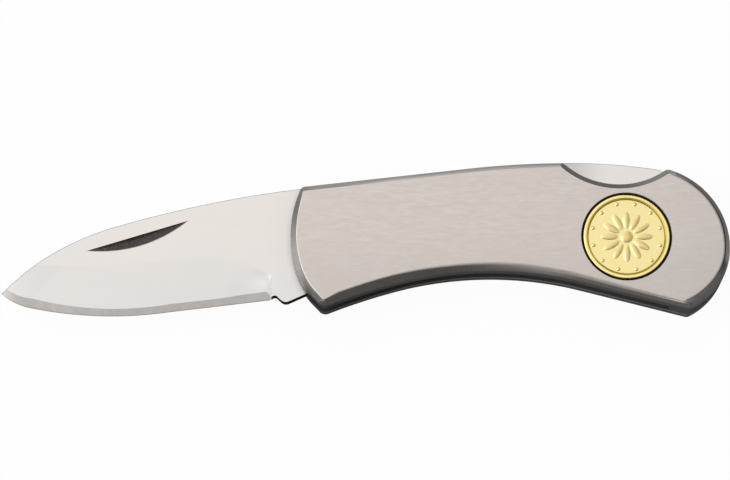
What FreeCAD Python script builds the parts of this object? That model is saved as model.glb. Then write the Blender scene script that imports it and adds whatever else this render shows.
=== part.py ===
import FreeCAD, Part
import Sketcher
import math
import os

# Folding pocket knife with a back lock, lying open on its rear scale.
# +X runs from the blade pivot to the butt, +Y to the back of the handle, +Z up through its thickness.
# The origin is on the rear scale's outer face, below the axis that the blade turns on.

# Driving sizes in millimetres, angles in degrees
SIZES = {
    # Handle outline, measured from the blade pivot
    "handle_length": 75.9,
    "pivot_setback": 6.9,
    "crown_rise": 14.25,
    "nose_drop": 11.57,
    "heel_setback": 7.1,
    "nose_top_face_radius": 0.15,
    "nose_side_face_radius": 11.0,
    "nose_bottom_face_radius": 0.4,
    "heel_face_radius": 0.15,
    "thumb_notch_radius": 14.0,
    "thumb_notch_depth": 3.85,
    "thumb_notch_setback": 18.9,
    "peak_reach": 6.6,
    "notch_lip_face_radius": 0.15,
    # Handle stack, from the outside in
    "scale_thickness": 2.6,
    "liner_thickness": 0.45,
    "channel_width": 2.3,
    "edge_bevel": 1.0,
    # Blade pivot
    "pivot_pin_radius": 1.5,
    "bushing_wall": 0.9,
    "washer_thickness": 0.1,
    "washer_rim": 2.2,
    "running_clearance": 0.03,
    "side_clearance": 0.02,
    "rivet_flare": 0.35,
    # Blade
    "fold_angle": 171.0,
    "tip_clearance": 1.1,
    "tip_droop_angle": 8.4,
    "belly_drop": 12.34,
    "spine_proud": 0.27,
    "edge_width": 0.06,
    "bevel_width": 1.25,
    "bevel_thickness": 0.6,
    "kick_setback": 9.42,
    "kick_clearance": 0.45,
    "kick_radius": 1.2,
    "choil_width": 2.6,
    "choil_depth": 1.36,
    "nick_length": 18.7,
    "nick_width": 1.95,
    "nick_depth": 0.45,
    "nick_slope_angle": 17.3,
    "nick_setback": 33.46,
    "nick_rise": 1.76,
    # Tang and lock
    "tang_radius": 7.9,
    "ricasso_angle": 105.0,
    "lock_notch_setback": 0.6,
    "lock_notch_width": 3.0,
    "lock_engagement": 0.8,
    "hook_lift_clearance": 0.12,
    "hook_front_clearance": 0.1,
    "hook_toe_setback": 0.22,
    "hook_rear_clearance": 0.25,
    # Lock bar
    "lock_pin_setback": 31.0,
    "lock_pin_depth": 2.95,
    "lock_pin_radius": 1.25,
    "lock_front_depth": 2.2,
    "lock_boss_depth": 5.95,
    "lock_boss_reach": 7.0,
    "lock_rear_depth": 5.0,
    "lock_bar_proud": 0.6,
    "lock_end_radius": 1.4,
    "lock_end_clearance": 0.3,
    "lock_side_clearance": 0.05,
    # Butt
    "butt_block_length": 10.4,
    "spacer_pin_radius": 0.9,
    "upper_pin_inset": 5.6,
    "upper_pin_rise": 2.6,
    "lower_pin_inset": 6.6,
    "lower_pin_drop": 6.6,
    # Lock spring
    "spring_thickness": 0.8,
    "spring_drop": 1.9,
    "spring_reach": 9.0,
    "spring_contact_gap": 0.08,
    "spring_eye_inset": 5.2,
    "spring_eye_wall": 0.55,
    "spring_pin_radius": 0.6,
    "spring_seat_clearance": 0.04,
    # Hidden studs that hold the scales
    "stud_radius": 0.9,
    "stud_depth": 1.2,
    # Medallion
    "medallion_radius": 7.46,
    "medallion_inset": 17.9,
    "medallion_rise": 0.8,
    "medallion_gap": 0.34,
    "medallion_thickness": 0.95,
    "medallion_pad_thickness": 0.2,
    "recess_depth": 1.15,
    "rim_width": 0.6,
    "rim_round": 0.18,
    "groove_width": 0.26,
    "groove_depth": 0.16,
    "field_drop": 0.2,
    "boss_radius": 1.15,
    "boss_height": 0.36,
    "petal_length": 3.3,
    "petal_width": 1.24,
    "petal_height": 0.26,
    "petal_gap": 0.18,
    "bead_radius": 0.34,
    "bead_inset": 0.62,
    # How far every cutting shape runs past what it cuts
    "cut_overrun": 0.8,
}

PETAL_COUNT = 12

# Points closer together than this, in millimetres, count as one
SAME_PLACE = 1e-4

# Handle outline as shares: of the handle's length from its front, and of the rise or drop from the pivot
HANDLE_SHARES = {
    "nose_top": (0.0244, 0.6969),
    "crown_start": (0.4308, 0.9439),
    "crown_top": (0.6509, 1.0000),
    "belly_end": (0.6706, -0.6240),
    "belly_top": (0.4335, -0.4425),
    "belly_start": (0.2358, -0.6379),
    "belly_front": (0.1543, -0.8029),
    "nose_bottom": (0.0744, -1.0000),
    "nose_side": (0.0310, -0.7001),
    "nose_front": (0.0000, 0.0842),
}

# Top, end and bottom of the butt's two rounds as shares of the rise and of the drop
BUTT_TOP_SHARE = 0.9614
BUTT_END_SHARE = 0.0605
BUTT_BOTTOM_SHARE = 1.1236

# How far the middle of each round lies in from the butt's end, as a share of its radius
BUTT_SIDE_SHARE = 0.15

# Blade spine as shares of the blade's reach and of the tang's top
SPINE_SHARES = {
    "tang_side": (0.330, 0.735),
    "knee": (0.630, 0.340),
    "point_side": (0.823, -0.088),
}

# Cutting edge from the heel to the point, as shares of the blade's reach and of the belly's drop
EDGE_HEEL_SHARE = 0.770
EDGE_SHARES = ((0.331, 0.859), (0.480, 0.9425), (0.705, 1.000), (0.900, 0.887), (0.957, 0.790), (0.9965, 0.648))

# How far the top of the sharpened bevel lies behind and above those points, as shares of its width
BEVEL_HEEL_SHARE = 1.25
BEVEL_SHARES = ((0.00, 1.06), (0.00, 1.10), (0.00, 1.04), (0.14, 1.33), (0.64, 0.88), (0.30, 0.88))

# Top of the main grind, with its run-out beside the choil, as shares of the reach and of the drop
GRIND_HEEL_SHARE = 0.454
GRIND_SHARES = ((0.2544, 0.262), (0.3210, 0.1605), (0.487, 0.205), (0.6445, 0.277), (0.805, 0.283),
                (0.8965, 0.262), (0.940, 0.220))

# Choil as shares of its width and depth, from the kick towards the edge
CHOIL_SHARES = {
    "rise": (0.427, 0.728),
    "top": (0.669, 1.000),
    "fall": (0.885, 0.750),
    "heel": (1.400, -0.210),
}

# Top of the lock bar in the thumb notch, as shares of the handle's length and of the rise
LOCK_CROWN_SHARES = (0.670, 1.000)
LOCK_END_RISE_SHARE = 0.903

# Stud places as shares of the handle's length and of the rise or drop
STUD_SHARES = ((0.235, 0.26), (0.520, 0.30), (0.965, -0.119))

# The lock spring's bow, as a share of the height that it climbs
SPRING_BOW_SHARE = 0.30

# Beads and petals sink this share of their height into the field
RELIEF_SINK_SHARE = 0.35


class Size:
    """A number that carries the sheet expression it comes from."""

    def __init__(self, value, text):
        self.value = value
        self.text = text

    def __add__(self, other):
        other = sized(other)
        return Size(self.value + other.value, "(%s + %s)" % (self.text, other.text))

    def __sub__(self, other):
        other = sized(other)
        return Size(self.value - other.value, "(%s - %s)" % (self.text, other.text))

    def __rsub__(self, other):
        return sized(other) - self

    def __mul__(self, other):
        other = sized(other)
        return Size(self.value * other.value, "(%s * %s)" % (self.text, other.text))

    def __truediv__(self, other):
        other = sized(other)
        return Size(self.value / other.value, "(%s / %s)" % (self.text, other.text))

    def __neg__(self):
        return Size(-self.value, "(-%s)" % self.text)

    __radd__ = __add__
    __rmul__ = __mul__

    def root(self):
        return Size(math.sqrt(self.value), "sqrt(%s)" % self.text)

    def cos(self):
        return Size(math.cos(math.radians(self.value)), "cos(%s)" % self.text)

    def sin(self):
        return Size(math.sin(math.radians(self.value)), "sin(%s)" % self.text)


def sized(number):
    """Gives a plain number the same form as a size."""
    if isinstance(number, Size):
        return number
    return Size(float(number), "(%r)" % float(number))


class SheetSizes:
    """Reads a driving size by its name."""

    def __getattr__(self, name):
        return Size(SIZES[name], "sizes.%s" % name)


s = SheetSizes()
doc = FreeCAD.newDocument("pocket_knife")
sheet = doc.addObject("Spreadsheet::Sheet", "sizes")
for row, (name, number) in enumerate(SIZES.items(), start=1):
    sheet.set("A%d" % row, name)
    sheet.set("B%d" % row, str(number))
    sheet.setAlias("B%d" % row, name)
doc.recompute()


# Sketches, pads and cuts

def bind(thing, prop, amount):
    """Ties a property to the sheet."""
    thing.setExpression(prop, sized(amount).text)


def hold_point(sketch, shape, end, place):
    """Holds one end of a sketch line at a place measured from the sketch's origin."""
    for direction, amount in zip(("DistanceX", "DistanceY"), place):
        amount = sized(amount)
        rule = sketch.addConstraint(Sketcher.Constraint(direction, -1, 1, shape, end, amount.value))
        sketch.setExpression("Constraints[%d]" % rule, amount.text)


def flat(place):
    """The sketch point of a place given in sizes."""
    return FreeCAD.Vector(sized(place[0]).value, sized(place[1]).value, 0)


def arc_through(start, middle, end):
    """A counter-clockwise arc through three points, and whether it runs from start to end."""
    first, second, third = flat(start), flat(middle), flat(end)
    turn = (second - first).cross(third - second).z
    if turn < 0:
        first, third = third, first
    whole = Part.Circle(first, second, third)
    centre = whole.Center
    low = math.atan2(first.y - centre.y, first.x - centre.x)
    high = math.atan2(third.y - centre.y, third.x - centre.x)
    if high < low:
        high += 2 * math.pi
    circle = Part.Circle(centre, FreeCAD.Vector(0, 0, 1), whole.Radius)
    return Part.ArcOfCircle(circle, low, high), turn > 0


def draw_loop(sketch, start, steps):
    """Draws a closed outline. A step is a point to reach, or a point to pass and a point to reach."""
    ends = []
    corner = start
    for step in steps:
        reach = step[-1]
        if len(step) == 1:
            shape = sketch.addGeometry(Part.LineSegment(flat(corner), flat(reach)))
            head, tail = 1, 2
        else:
            arc, forward = arc_through(corner, step[0], reach)
            shape = sketch.addGeometry(arc)
            head, tail = (1, 2) if forward else (2, 1)
            passed = sketch.addGeometry(Part.Point(flat(step[0])), True)
            hold_point(sketch, passed, 1, step[0])
            sketch.addConstraint(Sketcher.Constraint("PointOnObject", passed, 1, shape))
        hold_point(sketch, shape, head, corner)
        ends.append((shape, head, tail))
        corner = reach
    for (shape, _, tail), (follower, head, _) in zip(ends, ends[1:] + ends[:1]):
        sketch.addConstraint(Sketcher.Constraint("Coincident", shape, tail, follower, head))


def draw_circle(sketch, centre, radius):
    """Draws a circle held at its centre."""
    circle = Part.Circle(flat(centre), FreeCAD.Vector(0, 0, 1), sized(radius).value)
    shape = sketch.addGeometry(circle)
    hold_point(sketch, shape, 3, centre)
    rule = sketch.addConstraint(Sketcher.Constraint("Radius", shape, sized(radius).value))
    sketch.setExpression("Constraints[%d]" % rule, sized(radius).text)


def new_body(label):
    body = doc.addObject("PartDesign::Body", label)
    body.Label = label
    return body


def origin_part(body, role):
    """One of a body's own origin planes or axes."""
    return [part for part in body.Origin.OriginFeatures if part.Role == role][0]


def level_sketch(body, name, height=0):
    """A sketch of a body that lies level at a height."""
    sketch = body.newObject("Sketcher::SketchObject", "%s_%s" % (body.Label, name))
    sketch.AttachmentSupport = [(origin_part(body, "XY_Plane"), "")]
    sketch.MapMode = "FlatFace"
    bind(sketch, "AttachmentOffset.Base.z", height)
    return sketch


def pad(body, sketch, length):
    """Raises a sketch upwards."""
    feature = body.newObject("PartDesign::Pad", sketch.Label + "_pad")
    feature.Profile = sketch
    bind(feature, "Length", length)
    doc.recompute()
    return feature


def pocket(body, sketch, depth, upwards=False):
    """Cuts a sketch into its body, and makes sure that it took something away."""
    before = body.Shape.Volume
    feature = body.newObject("PartDesign::Pocket", sketch.Label + "_pocket")
    feature.Profile = sketch
    feature.Reversed = upwards
    bind(feature, "Length", depth)
    doc.recompute()
    if body.Shape.Volume >= before:
        raise RuntimeError("%s cuts nothing" % feature.Label)
    return feature


def upright_edges(shape, wanted):
    """Names of a shape's upright edges whose place passes a test."""
    names = []
    for number, edge in enumerate(shape.Edges, start=1):
        ends = [vertex.Point for vertex in edge.Vertexes]
        if len(ends) == 2 and (ends[1] - ends[0]).cross(FreeCAD.Vector(0, 0, 1)).Length < SAME_PLACE:
            if wanted(ends[0]):
                names.append("Edge%d" % number)
    return names


def apart(point, place):
    """Level distance between a point and a place."""
    target = flat(place)
    return math.hypot(point.x - target.x, point.y - target.y)


def nearest_upright(shape, place):
    """The upright edge that stands nearest to a place, as a list of its name."""
    closest = min(apart(vertex.Point, place) for vertex in shape.Vertexes)
    return upright_edges(shape, lambda point: apart(point, place) < closest + SAME_PLACE)[:1]


def fillet(body, name, edges, radius):
    base = body.Tip
    feature = body.newObject("PartDesign::Fillet", "%s_%s" % (body.Label, name))
    feature.Base = (base, edges)
    bind(feature, "Radius", radius)
    doc.recompute()
    if not feature.isValid():
        raise RuntimeError("%s can't be rounded" % feature.Label)
    return feature


def cut(label, base, tools):
    """Takes tools away from a shape."""
    feature = doc.addObject("Part::Cut", label)
    feature.Label = label
    feature.Base = base
    if len(tools) == 1:
        feature.Tool = tools[0]
    else:
        group = doc.addObject("Part::Compound", label + "_tools")
        group.Links = tools
        feature.Tool = group
    return feature


# Places that several pieces share

def handle_place(shares):
    """A place on the handle from its shares."""
    along, up = shares
    rise = s.crown_rise if up >= 0 else s.nose_drop
    return s.handle_length * along - s.pivot_setback, rise * up


butt_x = s.handle_length - s.pivot_setback
butt_end = (butt_x, -s.nose_drop * BUTT_END_SHARE)
upper_radius = s.crown_rise * BUTT_TOP_SHARE - butt_end[1]
lower_radius = s.nose_drop * BUTT_BOTTOM_SHARE + butt_end[1]


def on_butt(inset, radius, side):
    """The point of the butt's upper or lower round at a distance in from its end."""
    reach = radius - inset
    return butt_x - inset, butt_end[1] + (radius * radius - reach * reach).root() * side


block_front = butt_x - s.butt_block_length
notch_centre = (butt_x - s.thumb_notch_setback,
                s.crown_rise - s.thumb_notch_depth + s.thumb_notch_radius)

# The thumb notch cuts away the peak, where the crown meets the butt's upper round
corner = {name: handle_place(shares) for name, shares in HANDLE_SHARES.items()}
corner["peak"] = on_butt(s.thumb_notch_setback - s.peak_reach, upper_radius, 1)
corner["butt_above"] = on_butt(upper_radius * BUTT_SIDE_SHARE, upper_radius, 1)
corner["butt_end"] = butt_end
corner["butt_below"] = on_butt(lower_radius * BUTT_SIDE_SHARE, lower_radius, -1)
corner["heel"] = on_butt(s.heel_setback, lower_radius, -1)

rear_liner_base = s.scale_thickness
channel_base = rear_liner_base + s.liner_thickness
front_liner_base = channel_base + s.channel_width
front_scale_base = front_liner_base + s.liner_thickness
handle_top = front_scale_base + s.scale_thickness
channel_middle = channel_base + s.channel_width / 2

back_slope = ((corner["crown_start"][1] - corner["nose_top"][1])
              / (corner["crown_start"][0] - corner["nose_top"][0]))


def back_line(along):
    """Height of the handle's straight back at a distance from the pivot."""
    return corner["nose_top"][1] + (sized(along) - corner["nose_top"][0]) * back_slope


lock_pin = (s.lock_pin_setback, s.crown_rise - s.lock_pin_depth)
upper_pin = (butt_x - s.upper_pin_inset, s.upper_pin_rise)
lower_pin = (butt_x - s.lower_pin_inset, -s.lower_pin_drop)
lock_rear_under = s.crown_rise - s.lock_rear_depth
lock_front_under = back_line(s.kick_setback) - s.lock_front_depth
spring_seat = (butt_x - s.spring_eye_inset, lock_rear_under - s.spring_drop)
medallion_place = (butt_x - s.medallion_inset, s.medallion_rise)


# Handle plates

def handle_plate(label, base, thickness):
    """A body with the handle's outline and thumb notch."""
    body = new_body(label)
    outline = level_sketch(body, "outline", base)
    draw_loop(outline, corner["nose_top"], [
        (corner["crown_start"],),
        (corner["crown_top"], corner["peak"]),
        (corner["butt_above"], corner["butt_end"]),
        (corner["butt_below"], corner["heel"]),
        (corner["belly_end"],),
        (corner["belly_top"], corner["belly_start"]),
        (corner["belly_front"], corner["nose_bottom"]),
        (corner["nose_side"],),
        (corner["nose_front"], corner["nose_top"]),
    ])
    pad(body, outline, thickness)
    for name, face_radius in (("nose_top", s.nose_top_face_radius), ("nose_side", s.nose_side_face_radius),
                              ("nose_bottom", s.nose_bottom_face_radius), ("heel", s.heel_face_radius)):
        fillet(body, name, nearest_upright(body.Shape, corner[name]), s.edge_bevel + face_radius)
    notch = level_sketch(body, "thumb_notch", base)
    draw_circle(notch, notch_centre, s.thumb_notch_radius)
    pocket(body, notch, thickness, upwards=True)

    def on_notch(point):
        return abs(apart(point, notch_centre) - s.thumb_notch_radius.value) < SAME_PLACE

    fillet(body, "notch_lips", upright_edges(body.Shape, on_notch), s.edge_bevel + s.notch_lip_face_radius)
    return body


def face_at(shape, height):
    """Name of the flat face that lies at a height."""
    for number, face in enumerate(shape.Faces, start=1):
        box = face.BoundBox
        if abs(box.ZMin - height) < SAME_PLACE and abs(box.ZMax - height) < SAME_PLACE:
            return "Face%d" % number
    raise RuntimeError("no face at height %g" % height)


def bevel_outer_face(body, height):
    """Bevels the edge of a scale's outer face."""
    base = body.Tip
    feature = body.newObject("PartDesign::Chamfer", body.Label + "_edge_bevel")
    feature.Base = (base, [face_at(base.Shape, sized(height).value)])
    bind(feature, "Size", s.edge_bevel)
    doc.recompute()


def studs(label, base):
    """A group of upright studs through a liner and into its scale."""
    posts = []
    for number, share in enumerate(STUD_SHARES, start=1):
        post = doc.addObject("Part::Cylinder", "%s_%d" % (label, number))
        bind(post, "Radius", s.stud_radius)
        bind(post, "Height", s.liner_thickness + s.stud_depth)
        along, up = handle_place(share)
        bind(post, "Placement.Base.x", along)
        bind(post, "Placement.Base.y", up)
        bind(post, "Placement.Base.z", base)
        posts.append(post)
    group = doc.addObject("Part::Compound", label)
    group.Label = label
    group.Links = posts
    return group


def rivet(label, place, radius):
    """A pin across the frame, its ends flared into both liners."""
    body = new_body(label)
    bind(body, "Placement.Base.x", place[0])
    bind(body, "Placement.Base.y", place[1])
    profile = body.newObject("Sketcher::SketchObject", label + "_profile")
    profile.AttachmentSupport = [(origin_part(body, "XZ_Plane"), "")]
    profile.MapMode = "FlatFace"
    head = radius + s.rivet_flare
    draw_loop(profile, (0, rear_liner_base), [
        ((head, rear_liner_base),),
        ((radius, channel_base),),
        ((radius, front_liner_base),),
        ((head, front_scale_base),),
        ((0, front_scale_base),),
        ((0, rear_liner_base),),
    ])
    turned = body.newObject("PartDesign::Revolution", label + "_turned")
    turned.Profile = profile
    turned.ReferenceAxis = (profile, ["V_Axis"])
    turned.Angle = 360
    doc.recompute()
    return body


def ring(label, place, base, thickness, outer, inner=None):
    """A flat ring or disc."""
    body = new_body(label)
    section = level_sketch(body, "section", base)
    draw_circle(section, place, outer)
    if inner is not None:
        draw_circle(section, place, inner)
    pad(body, section, thickness)
    return body


pivot = (sized(0), sized(0))
bushing_radius = s.pivot_pin_radius + s.bushing_wall
washer_bore = bushing_radius + s.running_clearance
washer_radius = washer_bore + s.washer_rim

blade_pivot_pin = rivet("blade_pivot_pin", pivot, s.pivot_pin_radius)
lock_bar_pin = rivet("lock_bar_pin", lock_pin, s.lock_pin_radius)
upper_spacer_pin = rivet("upper_spacer_pin", upper_pin, s.spacer_pin_radius)
lower_spacer_pin = rivet("lower_spacer_pin", lower_pin, s.spacer_pin_radius)
rivets = [blade_pivot_pin, lock_bar_pin, upper_spacer_pin, lower_spacer_pin]

pivot_bushing = ring("pivot_bushing", pivot, channel_base, s.channel_width,
                     bushing_radius, s.pivot_pin_radius)
rear_washer = ring("rear_washer", pivot, channel_base, s.washer_thickness, washer_radius, washer_bore)
front_washer = ring("front_washer", pivot, front_liner_base - s.washer_thickness, s.washer_thickness,
                    washer_radius, washer_bore)
spring_pin = ring("spring_pin", spring_seat, channel_base, s.channel_width, s.spring_pin_radius)

front_scale_studs = studs("front_scale_studs", front_liner_base)
rear_scale_studs = studs("rear_scale_studs", rear_liner_base - s.stud_depth)

front_scale_body = handle_plate("front_scale_body", front_scale_base, s.scale_thickness)
bevel_outer_face(front_scale_body, handle_top)
recess = level_sketch(front_scale_body, "medallion_recess", handle_top)
draw_circle(recess, medallion_place, s.medallion_radius + s.medallion_gap)
pocket(front_scale_body, recess, s.recess_depth)
rear_scale_body = handle_plate("rear_scale_body", sized(0), s.scale_thickness)
bevel_outer_face(rear_scale_body, 0)
front_scale = cut("front_scale", front_scale_body, [front_scale_studs])
rear_scale = cut("rear_scale", rear_scale_body, [rear_scale_studs])

front_liner_plate = handle_plate("front_liner_plate", front_liner_base, s.liner_thickness)
rear_liner_plate = handle_plate("rear_liner_plate", rear_liner_base, s.liner_thickness)
front_liner = cut("front_liner", front_liner_plate, rivets + [front_scale_studs])
rear_liner = cut("rear_liner", rear_liner_plate, rivets + [rear_scale_studs])


# Back spacer, with a slot and a round seat for the lock spring

slot_half = s.spring_thickness / 2 + s.spring_seat_clearance
eye_radius = s.spring_pin_radius + s.spring_eye_wall
spacer_block = handle_plate("spacer_block", channel_base, s.channel_width)
front_of_block = level_sketch(spacer_block, "front_of_block", channel_base)
far_front = -s.pivot_setback - s.cut_overrun
far_top = s.crown_rise + s.cut_overrun
far_bottom = -s.nose_drop - s.cut_overrun
draw_loop(front_of_block, (far_front, far_bottom), [
    ((block_front, far_bottom),),
    ((block_front, far_top),),
    ((far_front, far_top),),
    ((far_front, far_bottom),),
])
pocket(spacer_block, front_of_block, s.channel_width, upwards=True)
slot = level_sketch(spacer_block, "spring_slot", channel_base)
draw_loop(slot, (block_front - s.cut_overrun, spring_seat[1] - slot_half), [
    ((spring_seat[0], spring_seat[1] - slot_half),),
    ((spring_seat[0], spring_seat[1] + slot_half),),
    ((block_front - s.cut_overrun, spring_seat[1] + slot_half),),
    ((block_front - s.cut_overrun, spring_seat[1] - slot_half),),
])
pocket(spacer_block, slot, s.channel_width, upwards=True)
eye_seat = level_sketch(spacer_block, "spring_eye_seat", channel_base)
draw_circle(eye_seat, spring_seat, eye_radius + s.spring_seat_clearance)
pocket(spacer_block, eye_seat, s.channel_width, upwards=True)
back_spacer = cut("back_spacer", spacer_block, [upper_spacer_pin, lower_spacer_pin])


# Lock bar: a hook over the tang, a boss on its pin, and a back that fills the thumb notch

lock_width = s.channel_width - s.lock_side_clearance * 2
lock_base = channel_base + s.lock_side_clearance
hook_radius = s.tang_radius + s.hook_lift_clearance
hook_front = s.lock_notch_setback + s.hook_front_clearance
hook_rear = s.lock_notch_setback + s.lock_notch_width - s.hook_rear_clearance
hook_toe = hook_front + s.hook_toe_setback
hook_middle = (hook_toe + hook_rear) / 2
lock_end = block_front - s.lock_end_clearance


def on_round(along, radius):
    """The upper point of a round about the pivot at a distance along the handle."""
    return sized(along), (radius * radius - sized(along) * along).root()


def lock_crown(shares, proud):
    along, up = handle_place(shares)
    return along, up + proud


lock_bar = new_body("lock_bar")
bar_outline = level_sketch(lock_bar, "outline", lock_base)
bar_end_top = (lock_end, s.crown_rise * LOCK_END_RISE_SHARE + s.lock_bar_proud)
draw_loop(bar_outline, on_round(hook_toe, hook_radius), [
    (on_round(hook_middle, hook_radius), on_round(hook_rear, hook_radius)),
    ((hook_rear, lock_front_under),),
    ((lock_pin[0] - s.lock_boss_reach, lock_front_under),),
    ((lock_pin[0], s.crown_rise - s.lock_boss_depth), (lock_pin[0] + s.lock_boss_reach, lock_rear_under)),
    ((lock_end, lock_rear_under),),
    (bar_end_top,),
    (lock_crown(LOCK_CROWN_SHARES, s.lock_bar_proud), corner["crown_start"]),
    ((hook_front, back_line(hook_front)),),
    (on_round(hook_toe, hook_radius),),
])
draw_circle(bar_outline, lock_pin, s.lock_pin_radius + s.running_clearance)
pad(lock_bar, bar_outline, lock_width)
fillet(lock_bar, "end_round", nearest_upright(lock_bar.Shape, bar_end_top), s.lock_end_radius)


# Lock spring: a bowed leaf whose eye sits on its pin in the spacer

lock_spring = new_body("lock_spring")
leaf_half = s.spring_thickness / 2
leaf_tip_x = lock_pin[0] + s.spring_reach
leaf_tip_top = lock_rear_under - s.spring_contact_gap
leaf_climb = leaf_tip_top - (spring_seat[1] + leaf_half)
leaf_middle_x = (leaf_tip_x + block_front) / 2
leaf_middle_top = spring_seat[1] + leaf_half + leaf_climb * SPRING_BOW_SHARE
leaf = level_sketch(lock_spring, "leaf", lock_base)
draw_loop(leaf, (leaf_tip_x, leaf_tip_top), [
    ((leaf_middle_x, leaf_middle_top), (block_front, spring_seat[1] + leaf_half)),
    ((spring_seat[0], spring_seat[1] + leaf_half),),
    ((spring_seat[0], spring_seat[1] - leaf_half),),
    ((block_front, spring_seat[1] - leaf_half),),
    ((leaf_middle_x, leaf_middle_top - s.spring_thickness), (leaf_tip_x, leaf_tip_top - s.spring_thickness)),
    ((leaf_tip_x, leaf_tip_top),),
])
pad(lock_spring, leaf, lock_width)
eye = level_sketch(lock_spring, "eye", lock_base)
draw_circle(eye, spring_seat, eye_radius)
pad(lock_spring, eye, lock_width)
eye_bore = level_sketch(lock_spring, "eye_bore", lock_base)
draw_circle(eye_bore, spring_seat, s.spring_pin_radius)
pocket(lock_spring, eye_bore, lock_width, upwards=True)


# Blade

blade_thickness = s.channel_width - (s.washer_thickness + s.side_clearance) * 2
blade_base = channel_middle - blade_thickness / 2
blade_reach = butt_x - s.butt_block_length - s.tip_clearance
tang_top = back_line(s.lock_notch_setback) + s.spine_proud
point = (-blade_reach * s.tip_droop_angle.cos(), -blade_reach * s.tip_droop_angle.sin())

# The kick stops on the lock bar when the blade is shut, so its place is turned back from there
shut_kick = (s.kick_setback, lock_front_under - s.kick_clearance)
kick = (s.fold_angle.cos() * shut_kick[0] + s.fold_angle.sin() * shut_kick[1],
        s.fold_angle.cos() * shut_kick[1] - s.fold_angle.sin() * shut_kick[0])
blade_floor = -s.belly_drop - s.cut_overrun


def spine_place(name):
    along, up = SPINE_SHARES[name]
    return -blade_reach * along, tang_top * up


def choil_place(name):
    along, up = CHOIL_SHARES[name]
    return kick[0] - s.choil_width * along, kick[1] + s.choil_depth * up


past_point = (point[0] - s.cut_overrun, point[1] - s.cut_overrun)
ricasso = (s.tang_radius * s.ricasso_angle.cos(), -s.tang_radius * s.ricasso_angle.sin())
notch_wall = on_round(s.lock_notch_setback, s.tang_radius)

blade_blank = new_body("blade_blank")
blade_outline = level_sketch(blade_blank, "outline", blade_base)
draw_loop(blade_outline, (s.lock_notch_setback, tang_top), [
    (spine_place("tang_side"), spine_place("knee")),
    (spine_place("point_side"), point),
    (past_point,),
    ((past_point[0], blade_floor),),
    ((choil_place("heel")[0], blade_floor),),
    (choil_place("heel"),),
    (choil_place("fall"),),
    (choil_place("top"), choil_place("rise")),
    (kick,),
    (ricasso,),
    ((s.tang_radius, sized(0)), notch_wall),
    ((s.lock_notch_setback, tang_top),),
])
draw_circle(blade_outline, pivot, bushing_radius + s.running_clearance)
pad(blade_blank, blade_outline, blade_thickness)
fillet(blade_blank, "kick_round", nearest_upright(blade_blank.Shape, kick), s.kick_radius)


def on_blade(along, down):
    """A place on the blade from its shares of the reach and of the belly's drop."""
    return -blade_reach * along, -s.belly_drop * down


def lifted(place, shares):
    """A place on the top of the sharpened bevel, from one on the edge."""
    back, up = shares
    return place[0] + s.bevel_width * back, place[1] + s.bevel_width * up


heel_x = choil_place("fall")[0]
edge_heel = (heel_x, -s.belly_drop * EDGE_HEEL_SHARE)
edge_places = [on_blade(*shares) for shares in EDGE_SHARES]
bevel_heel = lifted(edge_heel, (0, BEVEL_HEEL_SHARE))
bevel_places = [lifted(place, shares) for place, shares in zip(edge_places, BEVEL_SHARES)]
grind_heel = (heel_x, -s.belly_drop * GRIND_HEEL_SHARE)
plunge, *grind_places = [on_blade(*shares) for shares in GRIND_SHARES]


def grind_section(name, height, heel, first, places):
    """One level of the grind: what stays of the blade at that height above its middle."""
    sketch = doc.addObject("Sketcher::SketchObject", "grind_" + name)
    bind(sketch, "Placement.Base.z", channel_middle + height)
    left = -blade_reach - s.cut_overrun * 2
    right = s.tang_radius + s.cut_overrun
    top = tang_top + s.cut_overrun
    bottom = blade_floor - s.cut_overrun
    draw_loop(sketch, heel, [
        first,
        (places[1],),
        (places[2], places[3]),
        (places[4], places[5]),
        ((left, top),),
        ((right, top),),
        ((right, bottom),),
        ((heel[0], bottom),),
        (heel,),
    ])
    return sketch


edge_lines = (edge_heel, (edge_places[0],), edge_places)
bevel_lines = (bevel_heel, (bevel_places[0],), bevel_places)
grind_lines = (grind_heel, (plunge, grind_places[0]), grind_places)
half_edge = s.edge_width / 2
half_bevel = s.bevel_thickness / 2
half_blade = blade_thickness / 2
half_outside = half_blade + s.cut_overrun
grind_levels = [
    grind_section("rear_outside", -half_outside, *grind_lines),
    grind_section("rear_grind", -half_blade, *grind_lines),
    grind_section("rear_bevel", -half_bevel, *bevel_lines),
    grind_section("rear_edge", -half_edge, *edge_lines),
    grind_section("front_edge", half_edge, *edge_lines),
    grind_section("front_bevel", half_bevel, *bevel_lines),
    grind_section("front_grind", half_blade, *grind_lines),
    grind_section("front_outside", half_outside, *grind_lines),
]
grind = doc.addObject("Part::Loft", "grind")
grind.Sections = grind_levels
grind.Solid = True
grind.Ruled = True
ground_blade = doc.addObject("Part::Common", "ground_blade")
ground_blade.Base = blade_blank
ground_blade.Tool = grind


def lock_notch(name, turn):
    """A cutter for the hook's seat in the tang, turned to where the hook meets it."""
    sketch = doc.addObject("Sketcher::SketchObject", name + "_section")
    seat_radius = s.tang_radius - s.lock_engagement
    near = s.lock_notch_setback
    far = s.lock_notch_setback + s.lock_notch_width
    draw_loop(sketch, on_round(near, seat_radius), [
        (on_round((near + far) / 2, seat_radius), on_round(far, seat_radius)),
        ((far, tang_top + s.cut_overrun),),
        ((near, tang_top + s.cut_overrun),),
        (on_round(near, seat_radius),),
    ])
    bind(sketch, "Placement.Base.z", channel_base)
    bind(sketch, "Placement.Rotation.Angle", turn)
    cutter = doc.addObject("Part::Extrusion", name)
    cutter.Base = sketch
    cutter.DirMode = "Custom"
    cutter.Dir = FreeCAD.Vector(0, 0, 1)
    cutter.Solid = True
    bind(cutter, "LengthFwd", s.channel_width)
    return cutter


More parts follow.
